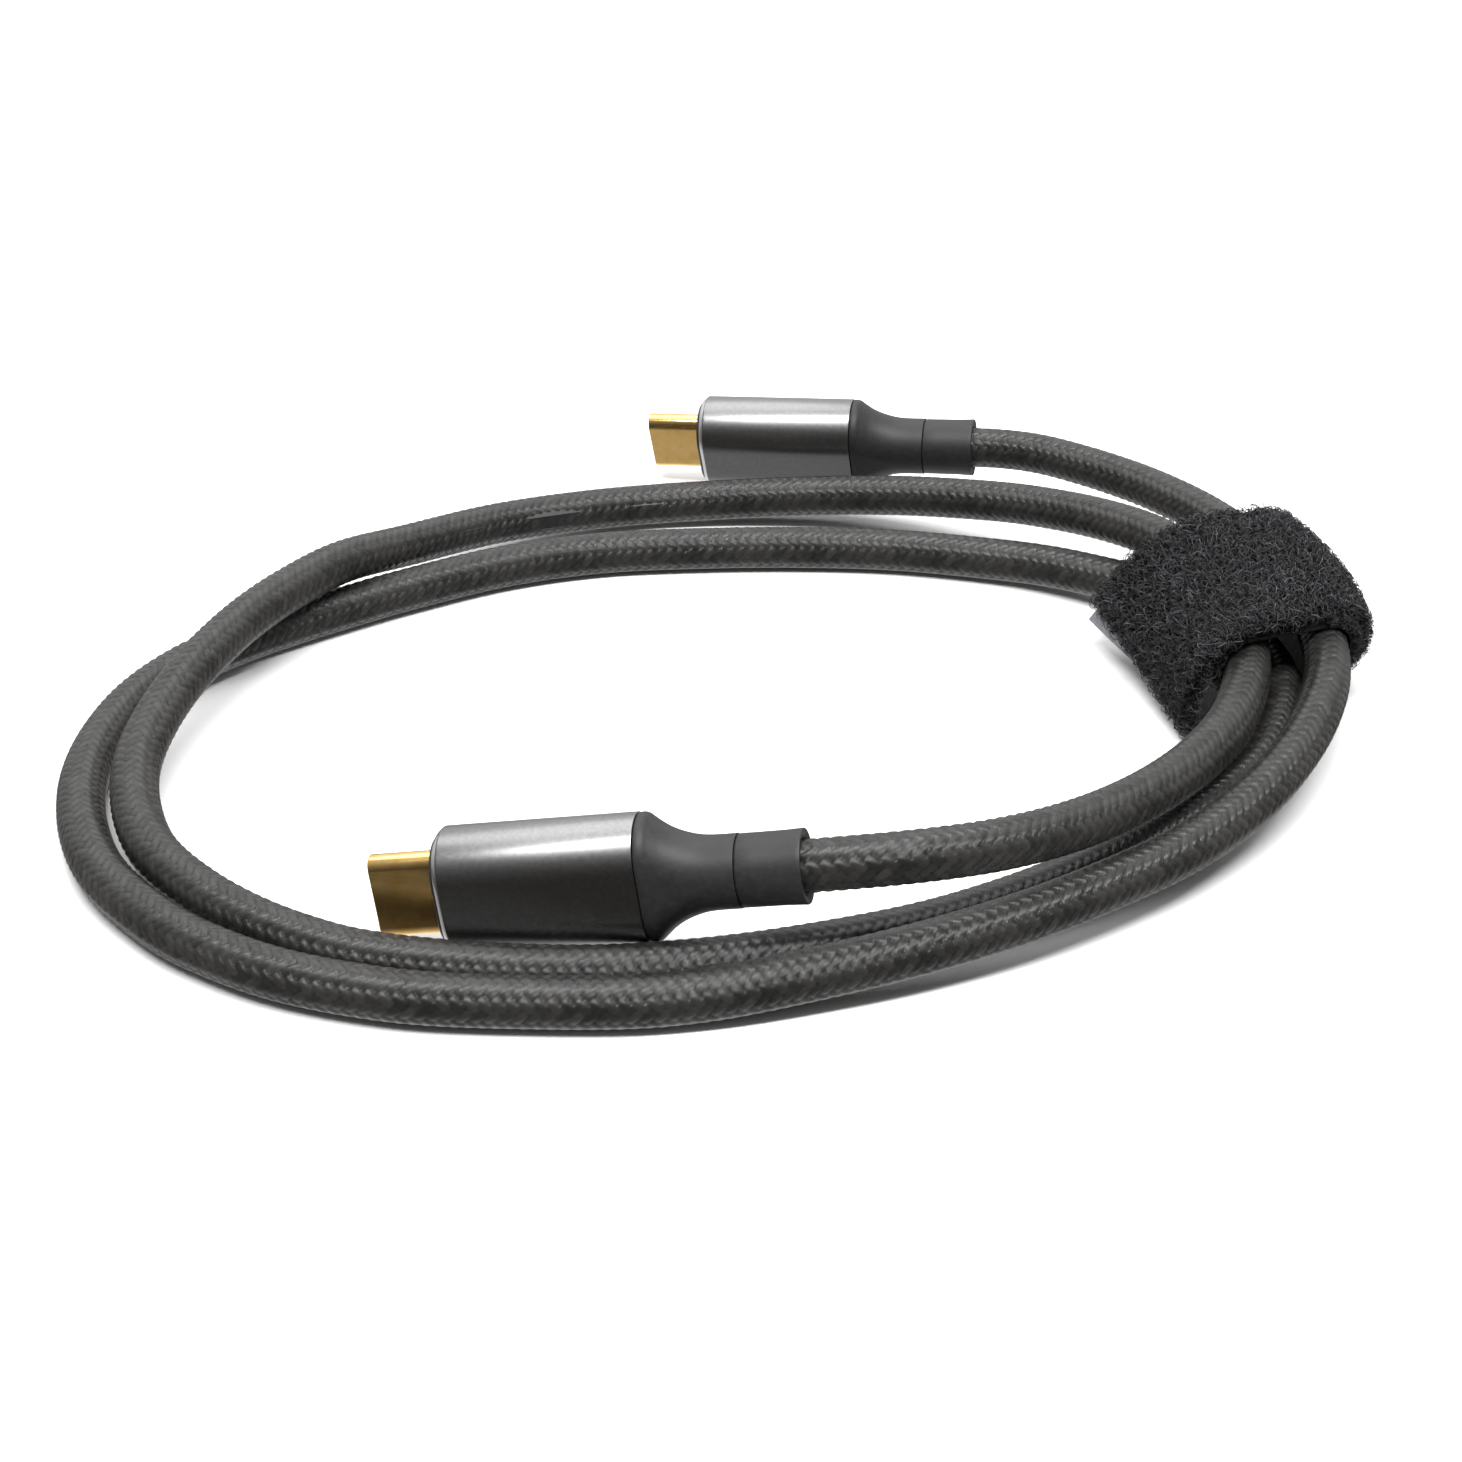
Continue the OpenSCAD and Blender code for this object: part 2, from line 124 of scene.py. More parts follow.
def catmull(points, per):
    """Points of a smooth curve through the given ones, per steps to a span."""
    p = np.asarray(points, float)
    q = np.vstack([2 * p[0] - p[1], p, 2 * p[-1] - p[-2]])
    t = (np.arange(per) / per)[:, None]
    out = []
    for i in range(1, len(q) - 2):
        a, b, c, d = q[i - 1], q[i], q[i + 1], q[i + 2]
        square = 2 * a - 5 * b + 4 * c - d
        cube = 3 * b - a - 3 * c + d
        out.append(0.5 * (2 * b + (c - a) * t + square * t**2 + cube * t**3))
    out.append(p[-1:])
    return np.vstack(out)


def even(points, step):
    """The same curve with points a fixed step apart."""
    d = np.r_[0, np.cumsum(np.linalg.norm(np.diff(points, axis=0), axis=1))]
    s = np.linspace(0, d[-1], int(round(d[-1] / step)) + 1)
    return np.stack([np.interp(s, d, points[:, k]) for k in range(points.shape[1])], 1), s


def unit(v):
    return v / np.linalg.norm(v, axis=-1, keepdims=True)


# ------------------------------------------------------------------ materials
def material(name):
    m = bpy.data.materials.new(name)
    m.use_nodes = True
    nt = m.node_tree
    return m, nt, nt.nodes["Principled BSDF"]


def node(nt, kind, **values):
    """A new shader node with the given settings."""
    n = nt.nodes.new(kind)
    for k, v in values.items():
        setattr(n, k, v)
    return n


def ramp(nt, fac, stops):
    r = nt.nodes.new("ShaderNodeValToRGB")
    while len(r.color_ramp.elements) < len(stops):
        r.color_ramp.elements.new(0.5)
    for e, (pos, col) in zip(r.color_ramp.elements, stops):
        e.position = pos
        e.color = tuple(col) + (1,)
    nt.links.new(fac, r.inputs[0])
    return r.outputs[0]


def value_range(nt, fac, lo, hi):
    r = node(nt, "ShaderNodeMapRange")
    r.inputs["To Min"].default_value = lo
    r.inputs["To Max"].default_value = hi
    nt.links.new(fac, r.inputs["Value"])
    return r.outputs[0]


def noise(nt, scale, detail=3.0, rough=0.55):
    """Noise in the object's own coordinates."""
    tc = nt.nodes.new("ShaderNodeTexCoord")
    n = nt.nodes.new("ShaderNodeTexNoise")
    n.inputs["Scale"].default_value = scale
    n.inputs["Detail"].default_value = detail
    n.inputs["Roughness"].default_value = rough
    nt.links.new(tc.outputs["Object"], n.inputs["Vector"])
    return n.outputs[0]


def bump(nt, bsdf, height, strength, distance):
    b = nt.nodes.new("ShaderNodeBump")
    b.inputs["Strength"].default_value = strength
    b.inputs["Distance"].default_value = distance
    nt.links.new(height, b.inputs["Height"])
    nt.links.new(b.outputs[0], bsdf.inputs["Normal"])


def base_colour(nt, bsdf, fac, lo, hi, start=0.3):
    """The base colour goes from lo to hi as the noise does from start to 0.7."""
    nt.links.new(ramp(nt, fac, [(start, lo), (0.7, hi)]), bsdf.inputs["Base Color"])


def simple(name, lo, hi, rough, metallic=0.0, scale=900, bump_mm=0.0):
    """A finish whose colour and roughness vary a little, with a fine bump."""
    m, nt, b = material(name)
    f = noise(nt, scale)
    base_colour(nt, b, f, lo, hi)
    nt.links.new(value_range(nt, f, rough * 0.85, rough * 1.15), b.inputs["Roughness"])
    b.inputs["Metallic"].default_value = metallic
    if bump_mm:
        bump(nt, b, noise(nt, scale * 3, 2), 0.5, bump_mm * MM)
    return m


def multiply(nt, a, b):
    """Two colours multiplied."""
    mix = node(nt, "ShaderNodeMix", data_type="RGBA", blend_type="MULTIPLY")
    mix.inputs["Factor"].default_value = 1.0
    nt.links.new(a, mix.inputs[MIX_A])
    nt.links.new(b, mix.inputs[MIX_B])
    return mix.outputs[MIX_OUT]


def braid_material():
    m, nt, b = material("braid_nylon")
    tone = node(nt, "ShaderNodeAttribute", attribute_name="tone")
    high = node(nt, "ShaderNodeAttribute", attribute_name="high")
    fib = node(nt, "ShaderNodeAttribute", attribute_name="fibre")
    tan = node(nt, "ShaderNodeAttribute", attribute_name="lay")
    base = ramp(nt, tone.outputs["Fac"], [(0.0, (0.012, 0.0118, 0.0112)), (1.0, (0.026, 0.0253, 0.0238))])
    # painted shade: the colour falls to a tenth where the braid surface is low, in the crevices between the
    # yarns
    painted_crevice_shade = ramp(nt, high.outputs["Fac"], [(0.0, (0.10, 0.10, 0.10)), (0.55, (1, 1, 1))])
    nt.links.new(multiply(nt, base, painted_crevice_shade), b.inputs["Base Color"])
    b.inputs["Roughness"].default_value = 0.28
    b.inputs["Specular IOR Level"].default_value = 0.42
    b.inputs["Anisotropic"].default_value = 0.45
    nt.links.new(tan.outputs["Vector"], b.inputs["Tangent"])
    wave = node(nt, "ShaderNodeMath", operation="SINE")
    nt.links.new(fib.outputs["Fac"], wave.inputs[0])
    bump(nt, b, wave.outputs[0], 0.35, 0.00003)
    return m


# ------------------------------------------------------------------ cable
LAY = [
    (16.7, 51.6, 8), (20.8, 49.5, 8.2), (24.7, 46.4, 8.3), (28.6, 42.7, 8.4), (33.4, 37.2, 8.5),
    (38.8, 29, 8.5), (43, 18.6, 8.5), (45.8, 8, 8.4), (46.6, -2, 8.2), (45.8, -11, 7.8),
    (43.5, -19, 7.2), (40, -26.6, 6.4), (35, -34.4, 5.6), (29, -41.4, 5), (22.5, -47.4, 4.8),
    (11, -55.4, 4.5), (-1, -61.2, 3.9), (-13.8, -65.4, 3.1), (-22, -67.2, 2.6), (-30, -67.9, 2.5),
    (-44, -67.4, 2.5), (-52, -65.9, 2.5), (-59.8, -63.1, 2.5), (-66.4, -59.1, 2.5), (-71.8, -54.6, 2.5),
    (-78.5, -46.2, 2.5), (-82.4, -37.6, 2.5), (-84.6, -28, 2.5), (-84.8, -18, 2.5), (-83, -8, 2.5),
    (-79, 0.6, 2.5), (-73.8, 7, 2.5), (-68, 12.2, 2.5), (-62.2, 16.8, 2.5), (-56.2, 21.2, 2.5),
    (-45.4, 27.8, 2.5), (-34, 31.8, 2.5), (-21.8, 33.2, 2.5), (-9.6, 33.5, 2.5), (2.5, 32.6, 2.5),
    (14.4, 29.6, 2.6), (20.6, 26.8, 2.9), (26.4, 22.9, 3.2), (32, 17.8, 3.8), (36.8, 11.8, 3.8),
    (40.2, 5, 3.8), (41.7, -3, 3.8), (41, -11.5, 3.8), (38.2, -20.4, 3.3), (33, -28.6, 2.8),
    (25.4, -36.5, 2.5), (18, -43.2, 2.5), (10.2, -49.2, 2.5), (0, -55, 2.5), (-12, -59.3, 2.5),
    (-22, -61.7, 2.5), (-32, -62.7, 2.5), (-43, -62.1, 2.6), (-52, -60.4, 2.7), (-58, -57.9, 2.9),
    (-63.4, -54.7, 3.2), (-68.9, -50, 3.5), (-74.2, -43.4, 3.8), (-77.4, -35.8, 4.4), (-78.8, -27.6, 5.2),
    (-78.2, -19.6, 6.2), (-76.4, -11.8, 7.2), (-74, -4.4, 7.8), (-71.2, 3, 8), (-67.6, 10.2, 8),
    (-63, 18.2, 7.5), (-56.8, 27, 5.6), (-46.6, 38.6, 3.5), (-34.4, 45, 2.7), (-21.9, 47.2, 2.8),
    (-9.3, 46.8, 3.6), (2.8, 44.2, 4.8), (14.4, 38.6, 6.4), (20.6, 34, 7.4), (26.2, 28.4, 8.4),
    (31.2, 22, 9.1), (35, 14.4, 9.3), (37.2, 6, 8.9), (37.9, -2, 8.5), (37.4, -10, 8.4),
    (35.5, -18.4, 8.3), (32.3, -26.4, 8.3), (28, -33.8, 8.6), (22.8, -40.8, 9.2), (17.2, -47.2, 10.2),
    (11.8, -52.4, 11.3), (6.6, -56.4, 12.3), (2, -58.8, 12.9), (-2.6, -60.2, 13.1), (-7, -60.3, 12.7),
]
ends_a = [on_axis("a", x) for x in (CORD_HELD, 27, SLEEVE_END)]
ends_b = [on_axis("b", x) for x in (SLEEVE_END, 27, CORD_HELD)]
route = catmull(ends_a + [np.array(p, float) for p in LAY] + ends_b, 24)
path, along = even(route, 0.2)
AROUND = 72  # points round the braid
CARRIERS = 12  # yarns laid each way round
BRAID_LOW, BRAID_RISE = 2.33, 0.19  # radius between the yarns, and how far a yarn stands up from it
STEP_K = 0.42  # turn of a yarn per mm of cable, in radians


def smooth_path(p, width):
    """A moving average that keeps both ends."""
    k = np.hanning(width + 2)[1:-1]
    k /= k.sum()
    pad = width // 2
    q = np.vstack([2 * p[0] - p[pad:0:-1], p, 2 * p[-1] - p[-2 : -pad - 2 : -1]])
    return np.stack([np.convolve(q[:, i], k, "valid") for i in range(3)], 1)


path = smooth_path(path, 31)
along = np.r_[0, np.cumsum(np.linalg.norm(np.diff(path, axis=0), axis=1))]
heading = unit(np.gradient(path, axis=0))
side = unit(np.cross(heading, [0, 0, 1]))
up = np.cross(side, heading)


def braid():
    """The woven sleeve: a tube whose surface rises where a yarn passes over another."""
    phi = (np.arange(AROUND) + 0.5) * 2 * math.pi / AROUND
    s, f = np.meshgrid(along, phi, indexing="ij")
    a = CARRIERS * (f - STEP_K * s) / (2 * math.pi)
    b = CARRIERS * (f + STEP_K * s) / (2 * math.pi)
    i, j = np.round(a), np.round(b)
    da, db = a - i, b - j
    over = ((i + j) % 4) < 2
    # place along the float that is on top, from -1 to 1
    ua = np.where(((i + j) % 4) == 0, db - 0.5, db + 0.5)
    ub = np.where(((i + j) % 4) == 2, da - 0.5, da + 0.5)
    across = np.where(over, da, db)
    crown = np.where(over, ua, ub)
    dome = np.sqrt(np.clip(1 - (1.9 * across) ** 2, 0.02, 1))
    arch = np.cos(np.clip(crown, -1, 1) * math.pi / 2) ** 0.7
    high = dome * (0.35 + 0.65 * arch)
    r = BRAID_LOW + BRAID_RISE * high
    co = path[:, None, :] + r[..., None] * (
        np.cos(f)[..., None] * side[:, None, :] + np.sin(f)[..., None] * up[:, None, :]
    )
    n = len(path)
    ob = make("braid", co.reshape(-1, 3), grid_faces(n, AROUND), braid_material())
    me = ob.data
    rng = np.random.RandomState(4)
    ta, tb = rng.rand(CARRIERS), rng.rand(CARRIERS)
    tone = np.where(over, ta[(i % CARRIERS).astype(int)], tb[(j % CARRIERS).astype(int)])
    # yarn direction on the surface
    rim = -np.sin(f)[..., None] * side[:, None, :] + np.cos(f)[..., None] * up[:, None, :]
    sign = np.where(over, 1.0, -1.0)[..., None]
    lay = unit(heading[:, None, :] + sign * STEP_K * 2.45 * rim)
    for name, data in (("tone", tone), ("high", high), ("fibre", across * 2 * math.pi * 7)):
        att = me.attributes.new(name, "FLOAT", "POINT")
        att.data.foreach_set("value", data.ravel().astype(np.float32))
    att = me.attributes.new("lay", "FLOAT_VECTOR", "POINT")
    att.data.foreach_set("vector", lay.ravel().astype(np.float32))
    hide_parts("braid_sleeve")
    return ob


braid()


# ------------------------------------------------------------------ plugs
RING = 96  # points in a section of a plug piece


def stadium(w, t, n=RING):
    """n points of a flat-sided round section: y the thickness, z the width."""
    r, s = t / 2, (w - t) / 2
    arc = n // 2 - 6
    a = np.linspace(0, math.pi, arc)
    top = np.stack([r * np.cos(a), s + r * np.sin(a)], 1)
    left = np.stack([np.full(6, -r), np.linspace(s, -s, 8)[1:-1]], 1)
    bottom = -top
    right = -left
    return np.vstack([top, left, bottom, right])


def loft(sections, n=RING):
    """Rings of (x, w, t) in the plug frame."""
    rings = [np.column_stack([np.full(n, x), stadium(w, t, n)]) for x, w, t in sections]
    return np.vstack(rings), grid_faces(len(rings), n)


def local_to_row(which, pts):
    at, m = PLUGS[which]
    return np.asarray(pts) @ m.T + at


def quarter(x0, w0, t0, dx, dr, steps):
    """Sections round a quarter corner: the radius grows by dr as x runs by dx."""
    out = []
    for a in np.radians(np.linspace(0, 90, steps)):
        out.append((x0 + dx * (1 - math.cos(a)), w0 + 2 * dr * math.sin(a), t0 + 2 * dr * math.sin(a)))
    return out


def relief_profile():
    """Sections of the relief, from rows of place, radius and half of the extra width."""
    t = np.array([
        (18.72, 4.02, 2), (18.78, 4.16, 2), (18.95, 4.24, 2), (19.3, 4.24, 2), (19.65, 4.15, 1.94),
        (20, 4.02, 1.76), (20.5, 3.9, 1.45), (21.1, 3.78, 1.1), (22, 3.66, 0.7), (23, 3.57, 0.38),
        (24.2, 3.51, 0.12),
        (25.6, 3.5, 0.01), (27.5, 3.5, 0), (27.62, 3.47, 0), (27.66, 3.38, 0),
    ])
    c = catmull(t, 5)
    return [(x, 2 * (r + max(s, 0)), 2 * r) for x, r, s in c]


def gold_material():
    m, nt, b = material("gold_plate")
    f = noise(nt, 700, 4)
    base_colour(nt, b, f, (0.80, 0.50, 0.16), (0.90, 0.62, 0.25))
    nt.links.new(value_range(nt, f, 0.16, 0.24), b.inputs["Roughness"])
    b.inputs["Metallic"].default_value = 1.0
    return m


def anodised_material():
    m, nt, b = material("grey_anodised")
    f = noise(nt, 2600, 3)
    base_colour(nt, b, f, (0.205, 0.202, 0.204), (0.245, 0.242, 0.244))
    nt.links.new(value_range(nt, f, 0.31, 0.36), b.inputs["Roughness"])
    b.inputs["Metallic"].default_value = 1.0
    bump(nt, b, noise(nt, 9000, 2), 0.15, 0.00001)
    return m


def relief_material():
    m, nt, b = material("relief_grey")
    f = noise(nt, 1500, 4)
    base_colour(nt, b, f, (0.014, 0.014, 0.0145), (0.021, 0.021, 0.0215))
    nt.links.new(value_range(nt, f, 0.46, 0.58), b.inputs["Roughness"])
    b.inputs["Specular IOR Level"].default_value = 0.4
    bump(nt, b, noise(nt, 5200, 3, 0.6), 0.35, 0.00004)
    return m


GOLD = gold_material()
ANOD = anodised_material()
BRIGHT = simple("cut_edge", (0.75, 0.75, 0.77), (0.85, 0.85, 0.87), 0.2, 1.0)
COLLAR = simple("collar_dark", (0.018, 0.018, 0.02), (0.026, 0.026, 0.028), 0.35)
RELIEF = relief_material()


def plug(which):
    tag = "_" + which

    # drawn shell: rolled lip, outer wall, inner wall
    sw, st = SHELL_W, SHELL_T
    hollow_w, hollow_t = sw - 2 * SHELL_WALL, st - 2 * SHELL_WALL
    outer = quarter(-SHELL_OUT, sw - 0.3, st - 0.3, 0.15, 0.15, 6)
    inner = [
        (-SHELL_OUT, sw - 0.36, st - 0.36), (-7.6, sw - 0.5, st - 0.5),
        (-7.45, hollow_w, hollow_t), (3, hollow_w, hollow_t),
    ]
    pts, faces = loft(inner[::-1] + outer + [(-3, sw, st), (3, sw, st)])
    ob = make("shell" + tag, local_to_row(which, pts), faces, GOLD, sharp=50)
    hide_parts("plug_shell" + tag)

    # dark collar
    face_w, face_t = H_W * 0.8, H_T * 0.74
    outer = [(-1.05, sw + 0.1, st + 0.1), (-1.05, face_w, face_t)]
    outer += quarter(-1.05, face_w, face_t, 0.35, 0.42, 7)[1:]
    outer += [(-0.62, face_w + 0.86, face_t + 0.86)]
    outer += [(x, H_W - 1.5, H_T - 1.5) for x in (-0.62, 2.6)]
    pts, faces = loft([(2.6, sw + 0.1, st + 0.1)] + outer)
    ob = make("collar" + tag, local_to_row(which, pts), faces, COLLAR, sharp=50)
    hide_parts("front_bezel" + tag)

    # housing with a bright cut chamfer
    bore_w, bore_t = H_W - 2 * WALL, H_T - 2 * WALL
    secs = [(H_L, bore_w, bore_t), (-0.45, bore_w, bore_t), (-0.6, H_W - 1.15, H_T - 1.15)]
    n_in = len(secs)
    secs += [(-0.6, H_W - 0.95, H_T - 0.95), (-0.56, H_W - 0.88, H_T - 0.88), (-0.12, H_W - 0.1, H_T - 0.1)]
    n_ch = len(secs)
    secs += [(0.0, H_W - 0.02, H_T - 0.02), (0.1, H_W, H_T), (H_L - 0.12, H_W, H_T)]
    secs += [(H_L - 0.03, H_W - 0.08, H_T - 0.08), (H_L, H_W - 0.26, H_T - 0.26), (H_L, bore_w, bore_t)]
    pts, faces = loft(secs)
    index = np.zeros(len(faces), int)
    ring = np.arange(len(faces)) // RING
    index[(ring >= n_in - 1) & (ring < n_ch - 1)] = 1
    finish = [ANOD, BRIGHT]
    ob = make("housing" + tag, local_to_row(which, pts), faces, ANOD, sharp=25, mats=finish, index=index)
    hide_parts("housing_sleeve" + tag)

    # moulded relief
    prof = relief_profile()
    pts, faces = loft([(18.72, 6.6, 6.6)] + prof + [(27.66, 5.9, 5.9)])
    ob = make("relief" + tag, local_to_row(which, pts), faces, RELIEF, sharp=50)
    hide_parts("strain_relief" + tag)

    # end sleeve
    prof = [
        (27.7, 5.2), (27.7, 6.5), (27.78, 6.78), (27.95, 6.9), (29.5, 6.9), (32, 6.94), (33.5, 7.06),
        (33.8, 7.1), (SLEEVE_END, 7.0), (SLEEVE_END, 6.2), (33.75, 5.6), (33.2, 5.3), (27.7, 5.2),
    ]
    pts, faces = loft([(x, d, d) for x, d in prof])
    ob = make("sleeve" + tag, local_to_row(which, pts), faces, RELIEF, sharp=50)
    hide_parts("relief_sleeve" + tag)


for which in PLUGS:
    plug(which)

# finishes of the CAD pieces that stay
FINISH = {
    "contact_carrier": simple(
        "carrier_black", (0.016, 0.016, 0.017), (0.024, 0.024, 0.025), 0.5, bump_mm=0.01,
    ),
    "upper_contacts": simple("contact_gold", (0.82, 0.55, 0.22), (0.9, 0.66, 0.32), 0.22, 1.0),
    "latch_plate": simple("spring_steel", (0.5, 0.5, 0.5), (0.62, 0.62, 0.61), 0.3, 1.0),
    "circuit_board": simple("board_green", (0.01, 0.09, 0.03), (0.02, 0.14, 0.05), 0.3, scale=400),
    "marker_chip": simple("chip_black", (0.015, 0.015, 0.015), (0.03, 0.03, 0.03), 0.5),
    "wire_leads": simple("lead_red", (0.35, 0.02, 0.02), (0.45, 0.04, 0.03), 0.4),
    "shield_can": simple("tinned_steel", (0.5, 0.5, 0.49), (0.65, 0.65, 0.63), 0.32, 1.0),
    "inner_mould": simple("natural_plastic", (0.6, 0.58, 0.52), (0.7, 0.68, 0.62), 0.5, bump_mm=0.01),
    "crimp_ferrule": simple("crimp_brass", (0.5, 0.33, 0.14), (0.6, 0.42, 0.2), 0.35, 1.0),
    "cable_jacket": simple("jacket_black", (0.012, 0.012, 0.012), (0.02, 0.02, 0.02), 0.5, bump_mm=0.01),
    "conductor_core": simple("copper", (0.6, 0.26, 0.13), (0.72, 0.36, 0.2), 0.3, 1.0),
    "hook": simple("hook_nylon", (0.006, 0.006, 0.007), (0.02, 0.02, 0.022), 0.6, scale=2600, bump_mm=0.03),
    # the tail's hook face: the same nylon as "hook", painted lighter grey-blue as the sheen of its smooth
    # hooks
    "hook_painted_sheen": simple(
        "hook_nylon_painted_sheen", (0.13, 0.135, 0.15), (0.21, 0.215, 0.235), 0.6, scale=2600, bump_mm=0.05,
    ),
    "thread": simple("edge_thread", (0.05, 0.05, 0.053), (0.13, 0.13, 0.138), 0.4, scale=1200),
}
FINISH["lower_contacts"] = FINISH["upper_contacts"]
FINISH["shield_screen"] = FINISH["shield_can"]
for name, ob in NODES.items():
    key = name[:-2] if name.endswith(("_a", "_b")) else name
    if key.endswith("_hook"):
        # the tail's hook face gets the painted sheen; the other hook layers keep the plain black nylon
        key = "hook_painted_sheen" if key == "strap_tail_hook" else "hook"
    if key in FINISH:
        ob.data.materials.clear()
        ob.data.materials.append(FINISH[key])


# ------------------------------------------------------------------ strap
S_AT = np.array([42.0, 8.0])
S_COS, S_SIN = math.cos(math.radians(25)), math.sin(math.radians(25))
BUNDLE = [
    (-15, 0.65, -12.15, 8.4, -7.55, 3.8, -2.15, 8.05),
    (-9, 0.35, -8.75, 8.45, -4.6, 3.8, 0.85, 8.25),
    (-3, 0.2, -6.2, 8.7, -3.05, 3.8, 3.05, 8.4),
    (3, 0.15, -4.5, 9.05, -2.8, 3.8, 4.5, 8.45),
    (9, 0.15, -3.6, 9.3, -3.7, 3.8, 5.35, 8.5),
]
R_PILE_IN, R_PILE_OUT = 3.09, 3.64
R_TOP, PILE_T = 4.72, 0.55
TAIL_START = 124
TAIL_NEAR = [
    (33.8, -12.4, 12), (32.4, -12.8, 10.5), (31.4, -12.9, 7.6), (30.8, -12.5, 4.4), (31.2, -11.6, 1.2),
]
TAIL_MID = [(34.6, 1.2, 12.3), (32.4, 0.5, 10.9), (30.2, -0.1, 8.8), (28.6, -0.4, 6.2), (27.7, -0.4, 3.6)]
TAIL_FAR = [(31.9, 13.3, 12.9), (29.6, 12.8, 11.6), (27.6, 12.1, 10), (25.7, 11.4, 8), (24, 10.8, 6)]
STATIONS = catmull(BUNDLE, 8)


def strap_pt(u, w, z):
    return np.stack([S_AT[0] + u * S_COS - w * S_SIN, S_AT[1] + u * S_SIN + w * S_COS, z], -1)


def arc(b, q, r, a0, a1, n):
    """Points round strand q of station b."""
    a = np.radians(np.linspace(a0, a1, n))
    return strap_pt(b[2 + 2 * q] + (r + b[1]) * np.cos(a), np.full(n, b[0]), b[3 + 2 * q] + r * np.sin(a))


def loop_ring(b, r, n=20):
    left = 270 + math.degrees(math.atan2(b[5] - b[3], b[4] - b[2]))
    right = 270 + math.degrees(math.atan2(b[7] - b[5], b[6] - b[4]))
    return np.vstack([arc(b, 0, r, 90, left, n), arc(b, 1, r, left, right, n), arc(b, 2, r, right, 450, n)])


def outer_row(b, r):
    """One line of the outer turn: round the outer strand, over the top and down the free tail."""
    f = (b[0] + 15) / 24
    tail = [
        np.array(p) * (1 - f) * (1 - 2 * f) + np.array(q) * 4 * f * (1 - f) + np.array(o) * f * (2 * f - 1)
        for p, q, o in zip(TAIL_NEAR, TAIL_MID, TAIL_FAR)
    ]
    round_top = arc(b, 0, r, 90, TAIL_START - 12, 3)
    down = catmull(np.vstack([round_top[-2:], arc(b, 0, r, TAIL_START, TAIL_START, 1), tail]), 8)
    return np.vstack([arc(b, 2, r, -38, 90, 30), round_top[:1], down])


def resample(line, count):
    d = np.r_[0, np.cumsum(np.linalg.norm(np.diff(line, axis=0), axis=1))]
    s = np.linspace(0, d[-1], count)
    return np.stack([np.interp(s, d, line[:, k]) for k in range(3)], 1)


def fuzz_material():
    m, nt, b = material("loop_pile")
    f = noise(nt, 3500, 4, 0.7)
    base_colour(nt, b, f, (0.005, 0.005, 0.006), (0.016, 0.016, 0.018), 0.35)
    b.inputs["Roughness"].default_value = 0.85
    b.inputs["Specular IOR Level"].default_value = 0.2
    bump(nt, b, noise(nt, 5200, 4, 0.7), 0.9, 0.0003)
    return m


def fibre_material():
    m, nt, b = material("pile_fibre")
    tone = node(nt, "ShaderNodeAttribute", attribute_name="tone")
    # tone differs at random from fibre to fibre; the light grey top of the ramp, from about 0.88 up, is
    # painted highlight on the black pile
    stops = [
        (0.0, (0.006, 0.006, 0.007)), (0.7, (0.020, 0.020, 0.022)),
        (0.88, (0.045, 0.045, 0.049)), (1.0, (0.11, 0.11, 0.118)),
    ]
    nt.links.new(ramp(nt, tone.outputs["Fac"], stops), b.inputs["Base Color"])
    b.inputs["Roughness"].default_value = 0.45
    b.inputs["Specular IOR Level"].default_value = 0.35
    return m


PILE = fuzz_material()
FIBRE = fibre_material()


def slab_mesh(top, under):
    """A closed slab between two grids of points, s by m."""
    s, m = top.shape[:2]
    q = s * m
    f_top = grid_faces(s, m, False, False)
    f_under = f_top[:, ::-1] + q
    last = (s - 1) * m
    rim = [(k, k + 1) for k in range(m - 1)]
    rim += [(j * m + m - 1, (j + 1) * m + m - 1) for j in range(s - 1)]
    rim += [(last + k, last + k - 1) for k in range(m - 1, 0, -1)]
    rim += [(j * m, (j - 1) * m) for j in range(s - 1, 0, -1)]
    f_rim = np.array([(b, a, q + a, q + b) for a, b in rim])
    return np.vstack([top.reshape(-1, 3), under.reshape(-1, 3)]), np.vstack([f_top, f_under, f_rim])


def on_grid(top, normal, count, rng):
    """Random places on a grid of surface points, with their normals."""
    m = top.shape[1]
    corner = top[:-1, :-1]
    area = np.linalg.norm(np.cross(top[1:, :-1] - corner, top[:-1, 1:] - corner), axis=2).ravel()
    cell = rng.choice(len(area), count, p=area / area.sum())
    i, j = cell // (m - 1), cell % (m - 1)
    a, b = rng.rand(count, 1), rng.rand(count, 1)
    low = top[i, j] * (1 - a) + top[i + 1, j] * a
    high = top[i, j + 1] * (1 - a) + top[i + 1, j + 1] * a
    return low * (1 - b) + high * b, normal[i, j]


def on_rim(line, under, normal, count, rng):
    """Random places on the cut face between an edge line and the line under it."""
    k = rng.randint(0, len(line) - 1, count)
    a, b = rng.rand(count, 1), rng.rand(count, 1)
    low = line[k] * (1 - a) + line[k + 1] * a
    deep = under[k] * (1 - a) + under[k + 1] * a
    return low * (1 - b) + deep * b, normal[k]


